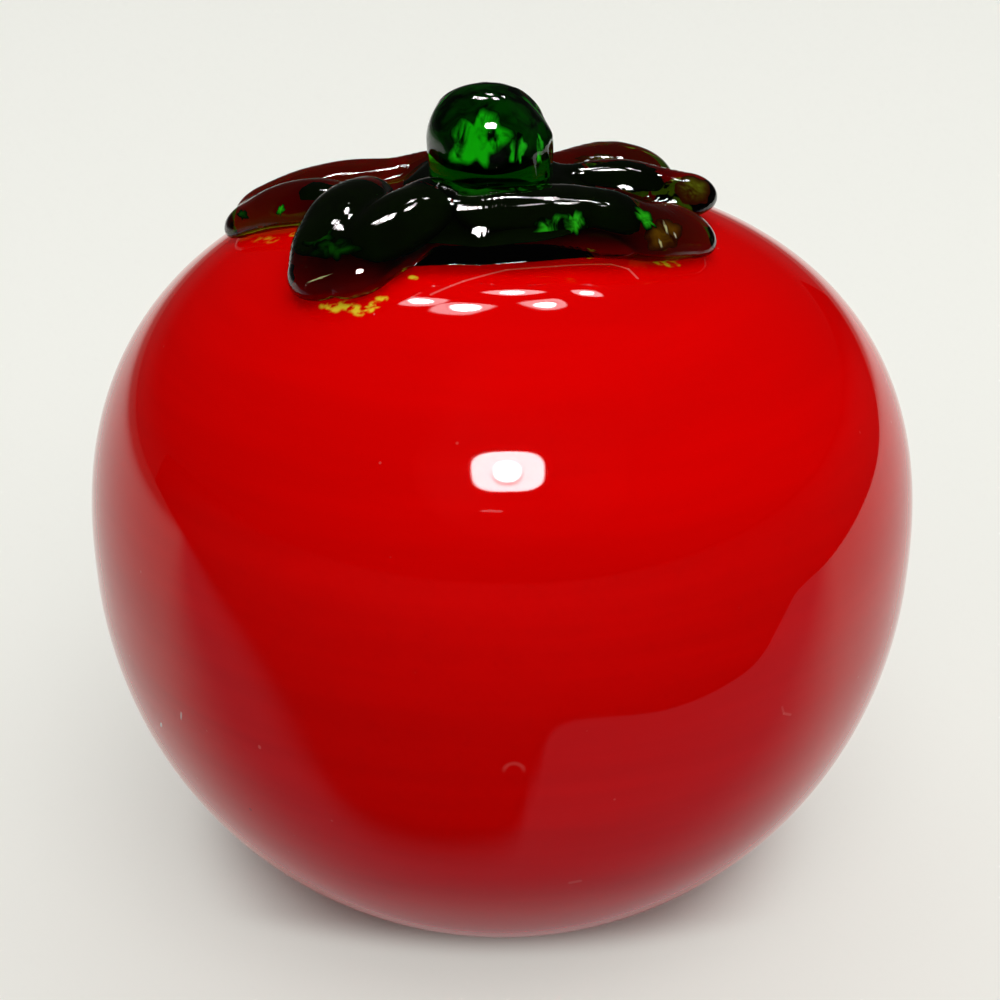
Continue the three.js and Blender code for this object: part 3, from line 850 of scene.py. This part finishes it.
# half of what the eye, the gloss and the glass see of the floor is a plain glow, so the shadow is light
glowKeys = "glowFrom", "glowTo", "farGlow", "nearGlow"
level = easedMask(tree, y, *[floorLook[key] for key in glowKeys])
glow = addNode(tree, "ShaderNodeEmission", Color=far, Strength=level)
shift = easedMask(tree, y, floorLook["shiftFrom"], floorLook["shiftTo"], floorLook["frontShift"])
outward = mathNode(tree, "ADD", away, shift)
lifted = easedMask(tree, outward, floorLook["liftFrom"], floorLook["liftTo"], floorLook["lift"])
direct = mathNode(tree, "SUBTRACT", 1.0, diffuse)
mixShaders(
    tree, mathNode(tree, "MULTIPLY", lifted, direct), shader.outputs["BSDF"], glow.outputs["Emission"]
)
square = np.array([(-1, -1), (1, -1), (1, 1), (-1, 1)])
corners = np.column_stack([square * floorLook["reach"], np.full(4, -floorLook["drop"])])
stagePiece("floor", corners, [(0, 1, 2, 3)], floorMaterial)

# each lamp's power is worked out from the level that it gives a flat patch at the origin
softLamps = [
    dict(name="fillLamp", place=(0.35, 0.25, 2.3), size=3.2, level=0.46),
    dict(name="keyLamp", place=(0.25, -1.35, 1.75), size=2.2, level=0.41),
]
for lamp in softLamps:
    light = bpy.data.lights.new(lamp["name"], "AREA")
    light.shape = "DISK"
    light.size = lamp["size"]
    place = np.array(lamp["place"])
    far = np.linalg.norm(place)
    light.energy = lamp["level"] * math.pi ** 2 * (lamp["size"] ** 2 / 4 + far ** 2) * far / place[2]
    lightObject = bpy.data.objects.new(lamp["name"], light)
    bpy.context.scene.collection.objects.link(lightObject)
    lightObject.location = place
    lightObject.rotation_mode = "QUATERNION"
    lightObject.rotation_quaternion = lightObject.location.to_track_quat("Z", "Y")
    lightObject.visible_glossy = False
    lightObject.visible_transmission = False

# way to a card, its half width and height, glow of halo and core, core's place and half size on the card
cardLook = dict(
    distance=2.0, lift=0.05, colour=(1, 0.93, 0.95),
    rounded=1.5, haloSoft=0.3, coreRounded=2.2, coreSoft=0.5,
    shadeDrop=0.14, shadeSize=1.15, shadeSoft=0.6, shadeShare=0.5,
)
glowCards = [
    dict(name="keyCard", way=(0.023, -0.61, 0.787), half=(0.317, 0.275), rounded=3.2,
         halo=40, core=60, at=(-0.02, 0.0), part=(0.4, 0.56)),
    dict(name="underArc", way=(-0.046, -0.79, 0.611), half=(0.11, 0.016),
         halo=4.5, core=0, at=(0, 0), part=(0.4, 0.5)),
    dict(name="bulbA", way=(-0.19, 0.5, 0.845), half=(0.165, 0.12),
         halo=9, core=60, at=(-0.05, 0.0), part=(0.45, 0.55)),
    dict(name="bulbB", way=(-0.1, 0.44, 0.89), half=(0.2, 0.14),
         halo=9, core=60, at=(0.1, 0), part=(0.45, 0.6)),
    dict(name="bulbC", way=(0.024, 0.625, 0.78), half=(0.14, 0.107),
         halo=9, core=60, at=(-0.05, 0), part=(0.38, 0.55)),
    dict(name="bulbD", way=(0.118, 0.48, 0.868), half=(0.18, 0.16),
         halo=9, core=60, at=(-0.05, 0.2), part=(0.42, 0.45)),
    dict(name="bulbE", way=(0.243, 0.612, 0.752), half=(0.155, 0.1),
         halo=9, core=60, at=(0, 0), part=(0.4, 0.55)),
]


# one inside a rounded shape, eased at its rim: the sum of powers of the distances over the half sizes
def glowMask(tree, place, middle, part, power, soft):
    total = 0.0
    for socket, centre, half in zip(place, middle, part):
        share = mathNode(tree, "ABSOLUTE", mathNode(tree, "SUBTRACT", socket, centre))
        share = mathNode(tree, "POWER", mathNode(tree, "DIVIDE", share, half), power)
        total = mathNode(tree, "ADD", total, share)
    return easedMask(tree, total, 1.0, 1.0 - soft)


for card in glowCards:
    material, tree, shader = newMaterial(card["name"])
    tree.nodes.remove(shader)
    split = splitPoint(tree, addNode(tree, "ShaderNodeUVMap", uv_map="card").outputs["UV"])
    place = split["X"], split["Y"]
    rounded = card.get("rounded", cardLook["rounded"])
    halo = glowMask(tree, place, (0, 0), (1, 1), rounded, cardLook["haloSoft"])
    middle = glowMask(tree, place, card["at"], card["part"], cardLook["coreRounded"], cardLook["coreSoft"])
    # the halo is dimmer around and below the core
    under = (card["at"][0], card["at"][1] - cardLook["shadeDrop"])
    wider = [half * cardLook["shadeSize"] for half in card["part"]]
    shade = glowMask(tree, place, under, wider, cardLook["coreRounded"], cardLook["shadeSoft"])
    dim = mathNode(tree, "MULTIPLY", shade, -cardLook["shadeShare"] * card["halo"])
    haloGlow = mathNode(tree, "MULTIPLY", halo, mathNode(tree, "ADD", dim, card["halo"]))
    glow = mathNode(tree, "ADD", mathNode(tree, "MULTIPLY", middle, card["core"]), haloGlow)
    emit = addNode(tree, "ShaderNodeEmission", Color=(*cardLook["colour"], 1), Strength=glow)
    clear = addNode(tree, "ShaderNodeBsdfTransparent")
    mixShaders(tree, halo, clear.outputs["BSDF"], emit.outputs["Emission"])
    way = np.array(card["way"]) / np.linalg.norm(card["way"])
    side = np.cross((0, 0, 1), way)
    side *= -np.sign(way[1]) / np.linalg.norm(side)
    upward = np.cross(way, side)
    upward *= np.sign(upward[2])
    corners = way * cardLook["distance"] + np.array([0, 0, cardLook["lift"]])
    corners = corners + square[:, :1] * side * card["half"][0] + square[:, 1:] * upward * card["half"][1]
    piece = stagePiece(card["name"], corners, [(0, 1, 2, 3)], material)
    layer = piece.data.uv_layers.new(name="card")
    layer.data.foreach_set("uv", square.astype(np.float32).ravel())
    glossOnly(piece)

# dark card on the floor: compass angle of its edge in degrees, distance and width of the soft edge
shadeCard = dict(
    colour=(0.01, 0.01, 0.01), lift=0.0006, spread=1.2, rise=0.3,
    sides=361, softRings=13, outerRings=(1.5, 4), easeSteps=12,
    edge=[
        (-195, 3.0, 0.5), (-180, 0.6, 0.3), (-165, 0.2, 0.14), (-148, 0.1, 0.07),
        (-132, 0.06, 0.035), (-115, 0.044, 0.015), (-90, 0.044, 0.015), (-84, 0.06, 0.03),
        (-78, 0.1, 0.008), (-55, 0.102, 0.002), (-42, 0.107, 0.002), (-32, 0.12, 0.002),
        (-24, 0.16, 0.003), (-16, 0.225, 0.003), (-4, 0.258, 0.003), (12, 0.345, 0.004),
        (34, 0.56, 0.01), (50, 1.5, 0.05), (62, 3.0, 0.2),
    ],
)
darkCard, tree, shader = newMaterial("darkCard")
setInputs(shader, {"Base Color": (*shadeCard["colour"], 1), "Roughness": 1.0})
cover = addNode(tree, "ShaderNodeAttribute", attribute_name="cover")
clear = addNode(tree, "ShaderNodeBsdfTransparent")
mixShaders(tree, cover.outputs["Fac"], clear.outputs["BSDF"], shader.outputs["BSDF"])

# rings from the card's edge outwards, lying on the floor while the edge is soft and rising beyond;
# distance and width are eased between the angles by their logarithms
edge = np.array(shadeCard["edge"])
edge[:, 1:] = np.log(edge[:, 1:])
angle, near, soft = eased(edge, shadeCard["easeSteps"]).T
a = np.radians(np.linspace(angle[0], angle[-1], shadeCard["sides"]))[None, :]
start = np.exp(np.interp(np.degrees(a), angle, near))
width = np.exp(np.interp(np.degrees(a), angle, soft))
t = np.concatenate([np.linspace(0, 1, shadeCard["softRings"]), shadeCard["outerRings"]])[:, None]
beyond = np.maximum(t - 1, 0)
r = start + width * np.minimum(t, 1) + shadeCard["spread"] * beyond
z = shadeCard["lift"] + shadeCard["rise"] * beyond + 0 * a
points = np.stack([r * np.cos(a), r * np.sin(a), z], -1)
i, j = np.meshgrid(np.arange(r.shape[0] - 1), np.arange(r.shape[1] - 1), indexing="ij")
corner = i * r.shape[1] + j
faces = np.stack([corner, corner + 1, corner + 1 + r.shape[1], corner + r.shape[1]], -1).reshape(-1, 4)
card = stagePiece("shadeCard", points.reshape(-1, 3), faces.tolist(), darkCard)
layer = card.data.attributes.new("cover", "FLOAT", "POINT")
layer.data.foreach_set("value", (smooth(0, 1, t) + 0 * a).astype(np.float32).ravel())
glossOnly(card)

# the world is dim, and pale only to the eye and behind the glass
worldLook = dict(
    horizon=0.05, zenith=0.012, zenithFrom=0.2, backdrop=0.86, behindGlass=0.16, colour=(1, 0.99, 0.95),
)
world = bpy.data.worlds.new("studioWorld")
bpy.context.scene.world = world
world.use_nodes = True
tree = world.node_tree
up = splitPoint(tree, addNode(tree, "ShaderNodeTexCoord").outputs["Generated"])["Z"]
ramp = easedMask(tree, up, 0.0, worldLook["zenithFrom"], worldLook["zenith"], worldLook["horizon"])
path = addNode(tree, "ShaderNodeLightPath")
shown = mathNode(tree, "MULTIPLY", path.outputs["Is Camera Ray"], worldLook["backdrop"])
through = mathNode(tree, "MULTIPLY", path.outputs["Is Transmission Ray"], worldLook["behindGlass"])
level = mathNode(tree, "MAXIMUM", ramp, mathNode(tree, "MAXIMUM", shown, through))
background = tree.nodes["Background"]
feed(tree, level, background.inputs["Strength"])
feed(tree, (*worldLook["colour"], 1), background.inputs["Color"])

# the camera's place in metres, its tilt down in degrees and its lens in mm
eye = dict(place=(-0.0002, -0.1412, 0.1140), tilt=28.48, lens=57.6, sensor=36, nearest=0.005)
camera = bpy.data.cameras.new("camera")
camera.lens = eye["lens"]
camera.sensor_width = eye["sensor"]
camera.clip_start = eye["nearest"]
cameraObject = bpy.data.objects.new("camera", camera)
bpy.context.scene.collection.objects.link(cameraObject)
cameraObject.location = eye["place"]
cameraObject.rotation_euler = (math.pi / 2 - math.radians(eye["tilt"]), 0, 0)
bpy.context.scene.camera = cameraObject
bpy.context.scene.view_settings.view_transform = "Standard"
print("stage made")
